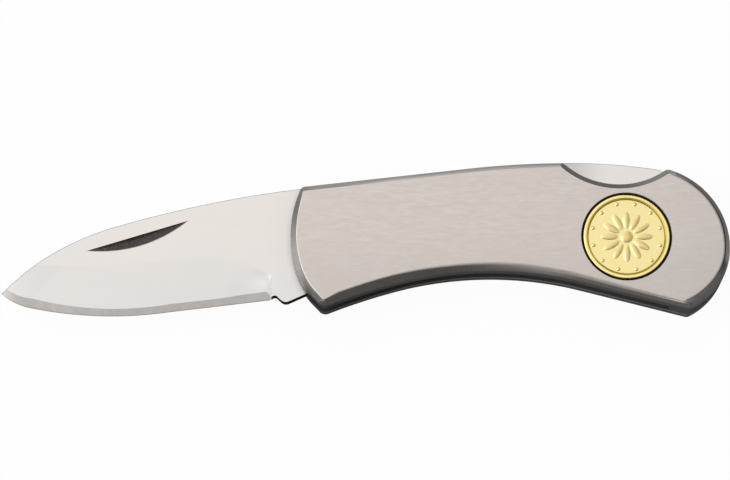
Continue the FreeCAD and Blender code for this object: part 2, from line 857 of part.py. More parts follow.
# The nail nick is the bite of a large wheel whose axis leans towards the edge
nick_lean = math.degrees(math.asin(s.nick_depth.value / s.nick_width.value))
nick_wheel = doc.addObject("Part::Cylinder", "nick_wheel")
wheel_radius = (s.nick_length * s.nick_length / 4 + s.nick_depth * s.nick_depth) / (s.nick_depth * 2)
bind(nick_wheel, "Radius", wheel_radius)
bind(nick_wheel, "Height", s.nick_width * 2)
slope_turn = FreeCAD.Rotation(FreeCAD.Vector(0, 0, 1), s.nick_slope_angle.value)
lean_turn = FreeCAD.Rotation(FreeCAD.Vector(1, 0, 0), 90 - nick_lean)
wheel_turn = slope_turn.multiply(lean_turn)
nick_middle = FreeCAD.Vector(-s.nick_setback.value, s.nick_rise.value, (channel_middle + half_blade).value)
wheel_up = wheel_turn.multVec(FreeCAD.Vector(0, 1, 0))
wheel_centre = nick_middle + wheel_up * (wheel_radius - s.nick_depth).value
nick_wheel.Placement = FreeCAD.Placement(wheel_centre, wheel_turn)

blade = cut("blade", ground_blade,
            [lock_notch("open_notch", sized(0)), lock_notch("shut_notch", -s.fold_angle), nick_wheel])


# Medallion and its pad

medallion_pad_base = handle_top - s.recess_depth
medallion_pad = ring("medallion_pad", medallion_place, medallion_pad_base, s.medallion_pad_thickness,
                     s.medallion_radius + s.medallion_gap)

medallion = new_body("medallion")
bind(medallion, "Placement.Base.x", medallion_place[0])
bind(medallion, "Placement.Base.y", medallion_place[1])
disc_base = medallion_pad_base + s.medallion_pad_thickness
rim_top = disc_base + s.medallion_thickness
field_top = rim_top - s.field_drop
rim_inner = s.medallion_radius - s.rim_width
groove_inner = rim_inner - s.groove_width
disc = medallion.newObject("Sketcher::SketchObject", "medallion_disc")
disc.AttachmentSupport = [(origin_part(medallion, "XZ_Plane"), "")]
disc.MapMode = "FlatFace"
rim_turn_share = math.sqrt(0.5)
draw_loop(disc, (0, disc_base), [
    ((s.medallion_radius, disc_base),),
    ((s.medallion_radius, rim_top - s.rim_round),),
    ((s.medallion_radius - s.rim_round * (1 - rim_turn_share),
      rim_top - s.rim_round * (1 - rim_turn_share)),
     (s.medallion_radius - s.rim_round, rim_top)),
    ((rim_inner, rim_top),),
    (((rim_inner + groove_inner) / 2, rim_top - s.groove_depth - s.field_drop), (groove_inner, field_top)),
    ((0, field_top),),
    ((0, disc_base),),
])
turned = medallion.newObject("PartDesign::Revolution", "medallion_turned")
turned.Profile = disc
turned.ReferenceAxis = (disc, ["V_Axis"])
turned.Angle = 360
doc.recompute()


def relief(name, length, width, height, reach, turn=0):
    """A raised drop on the medallion's field, at a distance and a turn from its middle."""
    turn = sized(turn)
    drop = medallion.newObject("PartDesign::AdditiveEllipsoid", "medallion_" + name)
    bind(drop, "Radius1", height)
    bind(drop, "Radius2", length / 2)
    bind(drop, "Radius3", width / 2)
    bind(drop, "Placement.Base.x", turn.cos() * reach)
    bind(drop, "Placement.Base.y", turn.sin() * reach)
    bind(drop, "Placement.Base.z", field_top - height * RELIEF_SINK_SHARE)
    doc.recompute()
    return drop


def around(drop):
    """Repeats a drop round the medallion."""
    pattern = medallion.newObject("PartDesign::PolarPattern", drop.Label + "s")
    pattern.Originals = [drop]
    pattern.Axis = (origin_part(medallion, "Z_Axis"), [""])
    pattern.Angle = 360
    pattern.Occurrences = PETAL_COUNT
    medallion.Tip = pattern
    doc.recompute()


petal_reach = s.boss_radius + s.petal_gap + s.petal_length / 2
bead_size = s.bead_radius * 2
relief("boss", s.boss_radius * 2, s.boss_radius * 2, s.boss_height, 0)
around(relief("petal", s.petal_length, s.petal_width, s.petal_height, petal_reach))
around(relief("bead", bead_size, bead_size, s.petal_height, groove_inner - s.bead_inset, 180 / PETAL_COUNT))


# Checks, then one file for each piece

pieces = [
    front_scale, rear_scale, front_liner, rear_liner, blade, lock_bar, lock_spring, back_spacer,
    blade_pivot_pin, pivot_bushing, front_washer, rear_washer, lock_bar_pin, upper_spacer_pin,
    lower_spacer_pin, spring_pin, front_scale_studs, rear_scale_studs, medallion, medallion_pad,
]
doc.recompute()
for thing in doc.Objects:
    if "Invalid" in thing.State or "Error" in thing.State:
        raise RuntimeError("%s failed: %s" % (thing.Label, thing.State))
for piece in pieces:
    if piece.Shape.isNull() or not piece.Shape.isValid() or not piece.Shape.Solids:
        raise RuntimeError("%s has no sound shape" % piece.Label)
os.makedirs("parts", exist_ok=True)
for piece in pieces:
    piece.Shape.exportStep("parts/%s.step" % piece.Label)
    print(piece.Label, len(piece.Shape.Solids), round(piece.Shape.Volume, 3))
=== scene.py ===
import math

import bmesh
import bpy
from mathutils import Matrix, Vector
from mathutils.kdtree import KDTree
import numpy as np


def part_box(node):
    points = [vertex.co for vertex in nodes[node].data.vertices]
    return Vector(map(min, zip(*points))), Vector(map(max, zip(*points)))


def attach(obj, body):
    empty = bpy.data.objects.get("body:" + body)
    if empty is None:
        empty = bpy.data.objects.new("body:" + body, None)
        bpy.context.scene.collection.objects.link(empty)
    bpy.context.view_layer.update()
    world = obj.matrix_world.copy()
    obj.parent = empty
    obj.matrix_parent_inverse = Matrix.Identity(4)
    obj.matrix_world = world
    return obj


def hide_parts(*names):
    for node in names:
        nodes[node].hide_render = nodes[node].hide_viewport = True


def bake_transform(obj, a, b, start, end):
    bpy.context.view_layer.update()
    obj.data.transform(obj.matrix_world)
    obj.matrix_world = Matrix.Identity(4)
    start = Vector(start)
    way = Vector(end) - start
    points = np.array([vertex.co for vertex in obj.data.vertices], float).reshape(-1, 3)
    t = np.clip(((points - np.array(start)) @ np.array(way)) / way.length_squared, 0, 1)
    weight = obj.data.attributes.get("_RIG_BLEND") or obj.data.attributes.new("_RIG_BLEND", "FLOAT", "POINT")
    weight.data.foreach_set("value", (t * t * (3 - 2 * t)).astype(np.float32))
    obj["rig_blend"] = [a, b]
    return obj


# Folding pocket knife, lying open with its medallion up.
# +X runs to the butt, +Y to the back of the handle and +Z up, in metres.

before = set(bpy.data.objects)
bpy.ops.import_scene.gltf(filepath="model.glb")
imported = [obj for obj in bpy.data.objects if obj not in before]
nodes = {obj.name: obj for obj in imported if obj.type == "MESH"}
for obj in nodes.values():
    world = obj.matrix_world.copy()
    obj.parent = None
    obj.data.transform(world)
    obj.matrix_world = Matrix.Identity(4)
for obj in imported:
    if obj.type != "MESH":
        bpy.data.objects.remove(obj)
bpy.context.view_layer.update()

MM = 0.001

# Picture: what its width takes in at the knife, and where it looks
PICTURE_WIDTH = 126.9 * MM
LENS = 150.0
SENSOR = 36.0
TILT = math.radians(14.7)
AIM = Vector((5.97, 1.25, 4.2)) * MM

# Edges that turn by more than these count as sharp, as worth rounding, and as no part of a flat
SHARP_TURN = math.radians(1.5)
ROUND_TURN = math.radians(25)
FLAT_TURN = math.radians(0.05)

# Corners nearer than this are one
WELD = 0.0005 * MM

# Surfaces that lean less from level than the first are faces, and more than the second walls
FACE_LEAN = 10
WALL_LEAN = 80

# The lock bar's sides lean less than the first, and the blade's spine and choil more than the second
SIDE_LEAN = 45
STEEP_LEAN = 60

# Rounded edges, and how many steps round them
CREST_STEPS = 4
EDGE_STEPS = 3
PILOT_ROUND = 0.04 * MM
NOSE_ROUND = 0.12 * MM
BACK_ROUND = 0.25 * MM
BELLY_ROUND = 0.45 * MM
BUTT_ROUND = 0.60 * MM
LONG_ROUND = 0.95 * MM
WIDE_BEVEL = 0.28 * MM
NARROW_BEVEL = 0.25 * MM
WALL_ROUND = 0.06 * MM
BLADE_ROUND = 0.11 * MM
NICK_ROUND = 0.02 * MM

# How far the crest slides along the back at the top of the nose, and along the belly at both its ends
NOSE_TOP_SLIDE = Vector((-0.35, -0.04, 0.0)) * MM
NOSE_BOTTOM_SLIDE = Vector((-0.14, -0.06, 0.0)) * MM
HEEL_SLIDE = Vector((-1.15, 0.06, 0.0)) * MM

# Short crest edges, the rounding at them, and how it grows away from them
TIGHT_EDGE = 0.15 * MM
TIGHT_ROUND = 0.09 * MM
TIGHT_GROWTH = 0.3

# Thumb notch
NOTCH_CENTRE = Vector((50.1, 24.4)) * MM
NOTCH_REACH = 15.3 * MM
NOTCH_BELOW = 6 * MM

# Heights on the handle's nose, butt and heel
NOSE_TOP = 9.1 * MM
NOSE_MIDDLE = 1.15 * MM
NOSE_BOTTOM = -10.2 * MM
BUTT_HIGH = 4 * MM
BUTT_LOW = -4 * MM
HEEL_HEIGHT = -10.8 * MM

# Places along the handle, from the nose to the heel
CRISP_END = -1.5 * MM
NOSE_END = -0.5 * MM
BELLY_START = 0.5 * MM
SOFT_START = 8 * MM
WIDE_FULL = 10 * MM
WIDE_GONE = 20 * MM
NARROW_START = 28 * MM
BELLY_REAR = 44 * MM
BUTT_START = 55 * MM
HEEL_START = 61.5 * MM

# Medallion, from its centre outwards
MEDALLION_CENTRE = (51.1 * MM, 0.8 * MM, 0.0)
RELIEF_END = (4.8 * MM, 4.9 * MM)
RELIEF_FOOT = 0.22 * MM
RELIEF_SHOULDER = 0.05 * MM
GROOVE_RADIUS = 6.73 * MM
GROOVE_SIDE = (0.10 * MM, 0.34 * MM)
RIM_FOOT = 0.1 * MM
RIM_SHOULDER = 0.3 * MM

# Blade: its middle height, the sharpened band with its rounded end, and the nail nick
BLADE_MIDDLE = 4.2 * MM
BAND_HALF = 0.31 * MM
BAND_END_MIDDLE = Vector((-11.95, -9.3)) * MM
BAND_END_REACH = Vector((1.6, 1.37)) * MM
BAND_END_START = 0.05 * MM
BAND_END_EDGE = (0.9, 1.15)
NICK_LEFT = -43.5 * MM
NICK_RIGHT = -23.5 * MM
NICK_BELOW = -1.8 * MM
NICK_DEPTH = 0.5 * MM
NICK_LIP = 0.003 * MM
NICK_RUN_OUT = 0.05 * MM

# Stretches over which the handle's painted shade and painted light change, each from one place to another
LOWER_FACE = (-9 * MM, 4 * MM)
BUTT_FACE = (56 * MM, 68 * MM)
BUTT_BEVEL = (50 * MM, 59 * MM)
BUTT_RISE = (-8 * MM, 5 * MM)
NOSE_BEVEL = (-5 * MM, -3 * MM)
NOSE_RISE = (1 * MM, 7 * MM)
BELLY_SIDE = (-2 * MM, 2 * MM)
CREST_DROP = (0.0, 0.6 * MM)
BACK_CREST = (0.0, 12 * MM)
BELLY_CREST = (20 * MM, 42 * MM)
BUTT_CREST = (59 * MM, 63 * MM)
FOOT_DROP = (0.03 * MM, 0.42 * MM)
FOOT_SIDE = (-7 * MM, -3 * MM)
FOOT_REAR = (20 * MM, 36 * MM)
NOTCH_REAR = (49 * MM, 58 * MM)
WALL_REAR = (4 * MM, 42 * MM)
WALL_SHADE = (0.0, 14 * MM)
CHANNEL_SIDE = (1.5 * MM, 1.9 * MM)
RIDGE_FOOT = (2.35 * MM, 2.60 * MM)
RIDGE_TOP = (2.90 * MM, 3.05 * MM)
NOSE_WALL = (-5 * MM, -2 * MM)
NOSE_WALL_RISE = (-9.5 * MM, -7 * MM)

# The same on the blade and the lock bar, mostly painted shade and painted light, and how the nose curves
# over the blade
LOW_BLADE = (-7 * MM, 3 * MM)
TANG_SHADE = (-12 * MM, -8 * MM)
TANG_EDGE = (-8.2 * MM, -6.6 * MM)
TANG_MIDDLE = 1.25 * MM
TANG_CURVE = 0.024 / MM
CHOIL_SIDE = (-17.5 * MM, -9.6 * MM)
CHOIL_LOW = (-6.8 * MM, -4.6 * MM)
CHOIL_END = (-10.25 * MM, -10.1 * MM)
BURR_SIDE = (0.03 * MM, 0.075 * MM)
POINT_END = (-55.5 * MM, -45 * MM)
LOCK_END = (41 * MM, 49 * MM)

# Floor, and the share of it that glows white
FLOOR_REACH = 3.0
FLOOR_GAP = 0.02 * MM
FLOOR_GLOW = 0.95

# How bright the strip and the soft box are beside a ceiling of 1, and the room elsewhere
STRIP_LIGHT = 1.75
SOFT_BOX_LIGHT = 1.5
ROOM_LIGHT = 0.12


# Shader sums

class Wire:
    """A shader socket that takes part in sums."""

    def __init__(self, finish, socket):
        self.finish = finish
        self.socket = socket

    def __add__(self, other):
        return self.finish.sum("ADD", self, other)

    def __sub__(self, other):
        return self.finish.sum("SUBTRACT", self, other)

    def __rsub__(self, other):
        return self.finish.sum("SUBTRACT", other, self)

    def __mul__(self, other):
        return self.finish.sum("MULTIPLY", self, other)

    def __abs__(self):
        return self.finish.sum("ABSOLUTE", self, 0.0)

    __radd__ = __add__
    __rmul__ = __mul__


class Finish:
    """The nodes of a material or of the world."""

    def __init__(self, owner):
        owner.use_nodes = True
        self.owner = owner
        self.tree = owner.node_tree
        self.tree.nodes.clear()

    def node(self, kind, settings, sockets, out=0):
        """Adds a node, sets it up, feeds its sockets and gives one of its outputs."""
        made = self.tree.nodes.new(kind)
        for name, value in settings.items():
            setattr(made, name, value)
        for name, value in sockets.items():
            if isinstance(value, Wire):
                self.tree.links.new(value.socket, made.inputs[name])
            else:
                made.inputs[name].default_value = value
        return Wire(self, made.outputs[out]) if made.outputs else made

    def sum(self, operation, first, second):
        return self.node("ShaderNodeMath", {"operation": operation}, {0: first, 1: second})

    def place(self):
        return self.node("ShaderNodeTexCoord", {}, {}, "Object")

    def axis(self, place, name):
        return self.node("ShaderNodeSeparateXYZ", {}, {"Vector": place}, name)

    def mix(self, share, first, second):
        """Goes from the first colour to the second as the share rises."""
        return self.node("ShaderNodeMix", {"data_type": "RGBA"}, {0: share, 6: first, 7: second}, 2)

    def step(self, value, low, high):
        """A smooth step from 0 at low to 1 at high."""
        return self.node("ShaderNodeMapRange", {"interpolation_type": "SMOOTHSTEP"},
                         {"Value": value, "From Min": low, "From Max": high})

    def noise(self, place, size, detail=2.0):
        """Noise whose grains have a size along each axis, in millimetres."""
        spread = self.node("ShaderNodeMapping", {},
                           {"Vector": place, "Scale": tuple(1 / (length * MM) for length in size)})
        return self.node("ShaderNodeTexNoise", {},
                         {"Vector": spread, "Scale": 1.0, "Detail": detail}, "Fac")

    def grain(self, place, size, detail=2.0):
        """Noise spread over the whole range."""
        return self.step(self.noise(place, size, detail), 0.25, 0.75)

    def bump(self, height, depth):
        """Turns the surface by a height whose full range is a depth in millimetres."""
        return self.node("ShaderNodeBump", {}, {"Height": height, "Distance": depth * MM})

    def surface(self, **sockets):
        """Ends the material in one shader, named sockets with spaces for underscores."""
        named = {name.replace("_", " "): value for name, value in sockets.items()}
        shader = self.node("ShaderNodeBsdfPrincipled", {}, named)
        self.node("ShaderNodeOutputMaterial", {}, {"Surface": shader})
        return self.owner


def finish(name):
    return Finish(bpy.data.materials.new(name))


def shade(colour, factor=1.0):
    return tuple(channel * factor for channel in colour) + (1.0,)


# Tones

SCALE_TONE = (0.618, 0.563, 0.526)
WARM_SCALE_TONE = (0.618, 0.55, 0.514)
# Painted highlight down the bevel from its crest
CREST_HIGHLIGHT_TONE = (0.93, 0.85, 0.79)
BEVEL_TONE = (0.29, 0.28, 0.27)
# Painted shade on the bevel at the butt and the nose
SHADED_BEVEL_TONE = (0.10, 0.095, 0.09)
# Painted shade at the foot of the belly's bevel
FOOT_SHADE_TONE = (0.14, 0.132, 0.128)
# Painted shade in the thumb notch, and painted light on its butt side
NOTCH_SHADE_TONE = (0.075, 0.07, 0.068)
NOTCH_LIT_TONE = (0.22, 0.21, 0.20)
# Painted shade: the walls dark for the dark they reflect
SHADED_WALL_TONE = (0.104, 0.098, 0.094)
# Painted highlight line along the walls
RIDGE_HIGHLIGHT_TONE = (0.36, 0.345, 0.335)
# Painted shade in the channel
CHANNEL_SHADE_TONE = (0.055, 0.052, 0.050)
# Painted light on the nose's wall
LIT_NOSE_WALL_TONE = (0.50, 0.47, 0.45)
BLADE_TONE = (0.745, 0.70, 0.66)
COOL_BLADE_TONE = (0.72, 0.695, 0.68)
LOCK_TONE = (0.755, 0.725, 0.695)
EDGE_TONE = (0.50, 0.48, 0.465)
# Painted light beside the choil
RUN_OUT_LIGHT_TONE = (0.98, 0.95, 0.92)
# The spine's own tone, also used for painted shade on the blade and the lock bar
SPINE_AND_SHADE_TONE = (0.26, 0.255, 0.255)
# Painted shade on the blade's walls that face the front
CHOIL_SHADE_TONE = (0.02, 0.019, 0.018)
# Painted shade in the nail nick
NICK_SHADE_TONE = (0.068, 0.062, 0.057)
# Painted shade on the spacer in the channel
SPACER_SHADE_TONE = (0.075, 0.071, 0.069)
SPRING_TONE = (0.16, 0.17, 0.21)
PIN_TONE = (0.50, 0.49, 0.48)
BRONZE_TONE = (0.62, 0.42, 0.20)
FIELD_GOLD = (0.91, 0.775, 0.37)
RELIEF_GOLD = (0.80, 0.62, 0.26)
RIM_GOLD = (0.98, 0.82, 0.33)
GROOVE_GOLD = (0.52, 0.38, 0.06)
RUBBER_TONE = (0.006, 0.006, 0.006)
LIGHT_RUBBER_TONE = (0.016, 0.016, 0.016)
FLOOR_TONE = (0.95, 0.95, 0.95)
WHITE = (1.0, 1.0, 1.0)


# Finishes

def brushed_face(name):
    """Steel brushed lengthwise: hair lines, short dashes, a few strong scratches and cloudy tone, with
    painted shade towards the bottom and the butt.
    """
    made = finish(name)
    place = made.place()
    hair = made.grain(place, (6.0, 0.12, 1.0))
    dash = made.grain(place, (2.2, 0.42, 1.0), 1.0)
    bright = made.step(made.noise(place, (2.4, 0.20, 1.0)), 0.64, 0.78)
    dark = 1 - made.step(made.noise(place, (2.1, 0.22, 1.3)), 0.23, 0.36)
    cloud = made.grain(place, (9.0, 5.0, 5.0))
    lower = 1 - made.step(made.axis(place, "Y"), *LOWER_FACE)
    butt = made.step(made.axis(place, "X"), *BUTT_FACE)
    lines = dash * 0.7 + hair * 0.3
    colour = made.mix(lines, shade(SCALE_TONE, 0.92), shade(SCALE_TONE, 1.08))
    clouded = made.mix(cloud * 0.5, colour, shade(WARM_SCALE_TONE))
    # Painted shade: the face darker towards the bottom and the butt
    lowered = made.mix(lower * 0.5 + butt * 0.3, clouded, shade(SCALE_TONE, 0.86))
    lit = made.mix(bright * 0.6, lowered, shade(SCALE_TONE, 1.22))
    scratched = made.mix(dark * 0.6, lit, shade(SCALE_TONE, 0.78))
    return made.surface(Base_Color=scratched, Metallic=1.0, Roughness=0.28 + lines * 0.10,
                        Normal=made.bump(lines, 0.002))


def ground_steel(name, tone, other, shared, painted_light=None, painted_shade=None):
    """Ground steel between two tones by a share, which others may lighten with painted light or darken with
    painted shade.
    """
    made = finish(name)
    place = made.place()
    grain = made.grain(place, (0.9, 0.12, 0.12))
    cloud = made.grain(place, (5.0, 4.0, 4.0))
    base = made.mix(shared(made, place), shade(tone), shade(other))
    colour = made.mix(grain * 0.12 + cloud * 0.12, base, shade(other, 0.8))
    # Painted light where this share rises
    if painted_light:
        colour = made.mix(painted_light(made, place), colour, shade(CREST_HIGHLIGHT_TONE))
    metal = 1.0
    # Painted shade: dark and without metal shine where this share rises
    if painted_shade:
        shade_share = painted_shade(made, place)
        colour = made.mix(shade_share, colour, shade(FOOT_SHADE_TONE))
        metal = 1 - shade_share
    return made.surface(Base_Color=colour, Metallic=metal, Roughness=0.17 + grain * 0.06,
                        Specular_IOR_Level=0.0, Normal=made.bump(grain, 0.0015))


def towards_ends(made, place):
    """Painted shade on the bevel: rises over the upper round of the butt, and less over the top of the nose.
    """
    along = made.axis(place, "X")
    up = made.axis(place, "Y")
    butt = made.step(along, *BUTT_BEVEL) * made.step(up, *BUTT_RISE)
    nose = (1 - made.step(along, *NOSE_BEVEL)) * made.step(up, *NOSE_RISE)
    return butt + nose * 0.55


def below_face(made, place):
    """How far a place lies below the outer face of its scale."""
    return BLADE_MIDDLE - abs(made.axis(place, "Z") - BLADE_MIDDLE)


def near_crest(made, place):
    """Painted highlight that falls from the crest down the bevel, but not round the nose or the butt."""
    along = made.axis(place, "X")
    belly = 1 - made.step(made.axis(place, "Y"), *BELLY_SIDE)
    lit = 1 - made.step(below_face(made, place) * (1 - belly * 0.4), *CREST_DROP)
    start = (1 - belly) * made.step(along, *BACK_CREST) + belly * made.step(along, *BELLY_CREST)
    return lit * start * (1 - made.step(along, *BUTT_CREST)) * (0.5 + belly * 0.5)


def belly_foot(made, place):
    """Painted shade that rises down the rear of the belly's bevel."""
    belly = 1 - made.step(made.axis(place, "Y"), *FOOT_SIDE)
    rear = made.step(made.axis(place, "X"), *FOOT_REAR)
    return made.step(below_face(made, place), *FOOT_DROP) * belly * rear


def along_notch(made, place):
    """Painted light that rises over the half of the thumb notch that is next to the butt."""
    return made.step(made.axis(place, "X"), *NOTCH_REAR)


def shaded_wall(name, tone, dark, ahead):
    """Dull steel painted dark as shade: darker at the channel and near the nose end, with a painted
    highlight line along the rear plate and painted light on the nose's front.
    """
    made = finish(name)
    place = made.place()
    grain = made.grain(place, (0.8, 0.12, 0.12))
    along = made.axis(place, "X")
    height = made.axis(place, "Z")
    rear = made.step(along, *WALL_REAR)
    # Painted shade at the channel, less towards the rear, and near the nose end
    inwards = 1 - made.step(abs(height - BLADE_MIDDLE), *CHANNEL_SIDE)
    ridge = made.step(height, *RIDGE_FOOT) * (1 - made.step(height, *RIDGE_TOP))
    shaded = 1 - made.step(along, *WALL_SHADE)
    darkened = inwards * (1 - rear * 0.6) + (1 - inwards) * shaded * 0.6
    base = made.mix(darkened, shade(tone), shade(dark))
    # Painted highlight: a light line along the wall, stronger towards the rear
    lined = made.mix(ridge * (0.25 + rear * 0.30), base, shade(RIDGE_HIGHLIGHT_TONE))
    # Painted light on the wall at the nose's front
    front = 1 - made.step(along, *NOSE_WALL)
    nose = front * made.step(made.axis(place, "Y"), *NOSE_WALL_RISE)
    ended = made.mix(nose, lined, shade(ahead))
    colour = made.mix(grain * 0.3, ended, shade(dark, 0.6))
    return made.surface(Base_Color=colour, Roughness=0.55 + grain * 0.15, Specular_IOR_Level=0.0,
                        Normal=made.bump(grain, 0.003))


def shade_black_steel(name):
    """Steel painted near black as shade, with a fine grain."""
    made = finish(name)
    grain = made.grain(made.place(), (0.3, 0.3, 0.3))
    colour = made.mix(grain, shade(CHOIL_SHADE_TONE, 0.8), shade(CHOIL_SHADE_TONE, 1.2))
    return made.surface(Base_Color=colour, Roughness=0.55 + grain * 0.15, Specular_IOR_Level=0.0,
                        Normal=made.bump(grain, 0.003))


def satin(name, tone, size, rough):
    """Steel with a fine grain of one size."""
    made = finish(name)
    place = made.place()
    grain = made.grain(place, size)
    cloud = made.grain(place, (7.0, 5.0, 5.0))
    colour = made.mix(grain * 0.6 + cloud * 0.4, shade(tone, 0.88), shade(tone, 1.12))
    return made.surface(Base_Color=colour, Metallic=1.0, Roughness=rough + grain * 0.08,
                        Normal=made.bump(grain, 0.003))


def polished_steel(name, tone, painted_shade, painted_light=None):
    """Satin-polished steel, cooler when low, with painted shade by one share and, where given, painted light
    by another.
    """
    made = finish(name)
    place = made.place()
    hair = made.grain(place, (5.0, 0.09, 0.5))
    cloud = made.grain(place, (8.0, 4.0, 4.0))
    low = 1 - made.step(made.axis(place, "Y"), *LOW_BLADE)
    toned = made.mix(cloud * 0.4 + low * 0.6, shade(tone), shade(COOL_BLADE_TONE, 0.985))
    brushed = made.mix(hair * 0.05, toned, shade(tone, 0.8))
    # Painted shade, in the spine's tone
    colour = made.mix(painted_shade(made, place), brushed, shade(SPINE_AND_SHADE_TONE))
    # Painted light where a second share rises
    if painted_light:
        colour = made.mix(painted_light(made, place), colour, shade(RUN_OUT_LIGHT_TONE))
    return made.surface(Base_Color=colour, Metallic=1.0, Roughness=0.17 + hair * 0.04,
                        Normal=made.bump(hair, 0.0006))


def towards_tang(made, place):
    """Painted shade that rises where the blade runs under the rounded nose of the handle."""
    up = made.axis(place, "Y") - TANG_MIDDLE
    reach = made.axis(place, "X") - up * up * TANG_CURVE
    return made.step(reach, *TANG_SHADE) * 0.04 + made.step(reach, *TANG_EDGE) * 0.30


def beside_choil(made, place):
    """Painted light that rises where the grind steepens beside the choil."""
    along = made.axis(place, "X")
    near = made.step(along, *CHOIL_SIDE)
    low = 1 - made.step(made.axis(place, "Y"), *CHOIL_LOW)
    return near * near * low * (1 - made.step(along, *CHOIL_END))


def notch_end(made, place):
    """Painted shade that falls along the lock bar as it comes out from under the handle's back."""
    return (1 - made.step(made.axis(place, "X"), *LOCK_END)) * 0.4


def sharpened_band(name):
    """Faint scratches, a thin dark line along the very edge, painted shade towards the point and a rounded
    end.
    """
    made = finish(name)
    place = made.place()
    across = made.grain(place, (0.9, 2.4, 1.2))
    height = abs(made.axis(place, "Z") - BLADE_MIDDLE)
    burr = 1 - made.step(height, *BURR_SIDE)
    along = made.axis(place, "X")
    point = 1 - made.step(along, *POINT_END)
    end = made.step(along, BAND_END_MIDDLE.x, BAND_END_MIDDLE.x + BAND_END_START)
    out = (along - BAND_END_MIDDLE.x) * (1 / BAND_END_REACH.x)
    above = (made.axis(place, "Y") - BAND_END_MIDDLE.y) * (1 / BAND_END_REACH.y)
    beyond = made.step(out * out + above * above, *BAND_END_EDGE) * end
    colour = made.mix(across, shade(EDGE_TONE, 0.96), shade(EDGE_TONE, 1.04))
    # Painted shade towards the point
    pointed = made.mix(point * 0.9, colour, shade(EDGE_TONE, 0.84))
    ended = made.mix(burr * 0.6, pointed, shade(EDGE_TONE, 0.35))
    rounded = made.mix(beyond, ended, shade(BLADE_TONE, 1.1))
    return made.surface(Base_Color=rounded, Metallic=1.0, Roughness=0.24 + across * 0.05,
                        Normal=made.bump(across, 0.0005))


def nick_floor(name, top):
    """Coarse cut painted dark as the shade in the nick, lightening as it runs out into the blade's side."""
    made = finish(name)
    place = made.place()
    coarse = made.grain(place, (0.5, 0.22, 0.3))
    speck = made.step(made.noise(place, (0.3, 0.2, 0.2)), 0.62, 0.75)
    run_out = made.step(made.axis(place, "Z"), top - NICK_RUN_OUT, top)
    colour = made.mix(coarse, shade(NICK_SHADE_TONE, 0.55), shade(NICK_SHADE_TONE, 1.35))
    specked = made.mix(speck * 0.6, colour, shade(NICK_SHADE_TONE, 3.0))
    ended = made.mix(run_out, specked, shade(BLADE_TONE, 0.8))
    return made.surface(Base_Color=ended, Metallic=1.0, Roughness=0.32 + coarse * 0.15,
                        Normal=made.bump(coarse, 0.012))


def turned(name, tone, rough):
    """Metal turned on a lathe about the upright axis of the blade's pivot."""
    made = finish(name)
    place = made.place()
    rings = made.node("ShaderNodeTexWave", {"wave_type": "RINGS", "rings_direction": "Z"},
                      {"Vector": place, "Scale": 1 / (1.4 * MM), "Distortion": 0.6}, "Fac")
    grain = made.grain(place, (0.3, 0.3, 0.3))
    colour = made.mix(rings * 0.5 + grain * 0.5, shade(tone, 0.85), shade(tone, 1.10))
    return made.surface(Base_Color=colour, Metallic=1.0, Roughness=rough + grain * 0.1,
                        Normal=made.bump(rings, 0.004))


def gilt_plate(name, top):
    """Gold plate: a polished rim, an olive groove and a pale field with a deeper relief."""
    made = finish(name)
    place = made.place()
    centred = made.node("ShaderNodeVectorMath", {"operation": "SUBTRACT"},
                        {0: place, 1: MEDALLION_CENTRE})
    level = made.node("ShaderNodeVectorMath", {"operation": "MULTIPLY"},
                      {0: centred, 1: (1.0, 1.0, 0.0)})
    radius = made.node("ShaderNodeVectorMath", {"operation": "LENGTH"}, {0: level}, "Value")
    groove = 1 - made.step(abs(radius - GROOVE_RADIUS), *GROOVE_SIDE)
    rim = made.step(radius, GROOVE_RADIUS + RIM_FOOT, GROOVE_RADIUS + RIM_SHOULDER)
    inside = 1 - made.step(radius, *RELIEF_END)
    raised = made.step(made.axis(place, "Z"), top - RELIEF_FOOT, top - RELIEF_SHOULDER) * inside
    grain = made.grain(place, (0.4, 0.4, 0.4))
    field = made.mix(raised, shade(FIELD_GOLD), shade(RELIEF_GOLD))
    rimmed = made.mix(rim, field, shade(RIM_GOLD))
    grooved = made.mix(groove * 0.85, rimmed, shade(GROOVE_GOLD))
    colour = made.mix(grain * 0.08, grooved, shade(RELIEF_GOLD))
    return made.surface(Base_Color=colour, Metallic=1.0, Roughness=0.20 + grain * 0.04,
                        Normal=made.bump(grain, 0.0006))


def black_rubber(name):
    made = finish(name)
    grain = made.grain(made.place(), (0.15, 0.15, 0.15))
    colour = made.mix(grain, shade(RUBBER_TONE), shade(LIGHT_RUBBER_TONE))
    return made.surface(Base_Color=colour, Roughness=0.6 + grain * 0.2, Normal=made.bump(grain, 0.01))


blade_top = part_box("blade")[1].z
medallion_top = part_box("medallion")[1].z

scale_face = brushed_face("scale_face")
# Bevel with painted shade at its ends, a painted highlight below the crest and painted shade at the belly's
# foot
scale_bevel = ground_steel("scale_bevel", BEVEL_TONE, SHADED_BEVEL_TONE, towards_ends,
                           near_crest, belly_foot)
# The notch's bevel in painted shade, with painted light towards the butt
notch_bevel = ground_steel("notch_bevel", NOTCH_SHADE_TONE, NOTCH_LIT_TONE, along_notch)
# Walls in painted shade
scale_wall = shaded_wall("scale_wall", SHADED_WALL_TONE, CHANNEL_SHADE_TONE, LIT_NOSE_WALL_TONE)
# Blade sides with painted shade by the tang and painted light beside the choil
blade_flat = polished_steel("blade_flat", BLADE_TONE, towards_tang, beside_choil)
blade_edge = sharpened_band("blade_edge")
blade_spine = satin("blade_spine", SPINE_AND_SHADE_TONE, (0.12, 0.8, 0.8), 0.25)
choil_wall = shade_black_steel("choil_wall")
nick_cut = nick_floor("nick_cut", blade_top)
# The lock bar in painted shade where it comes out from under the handle's back
lock_flat = polished_steel("lock_flat", LOCK_TONE, notch_end)
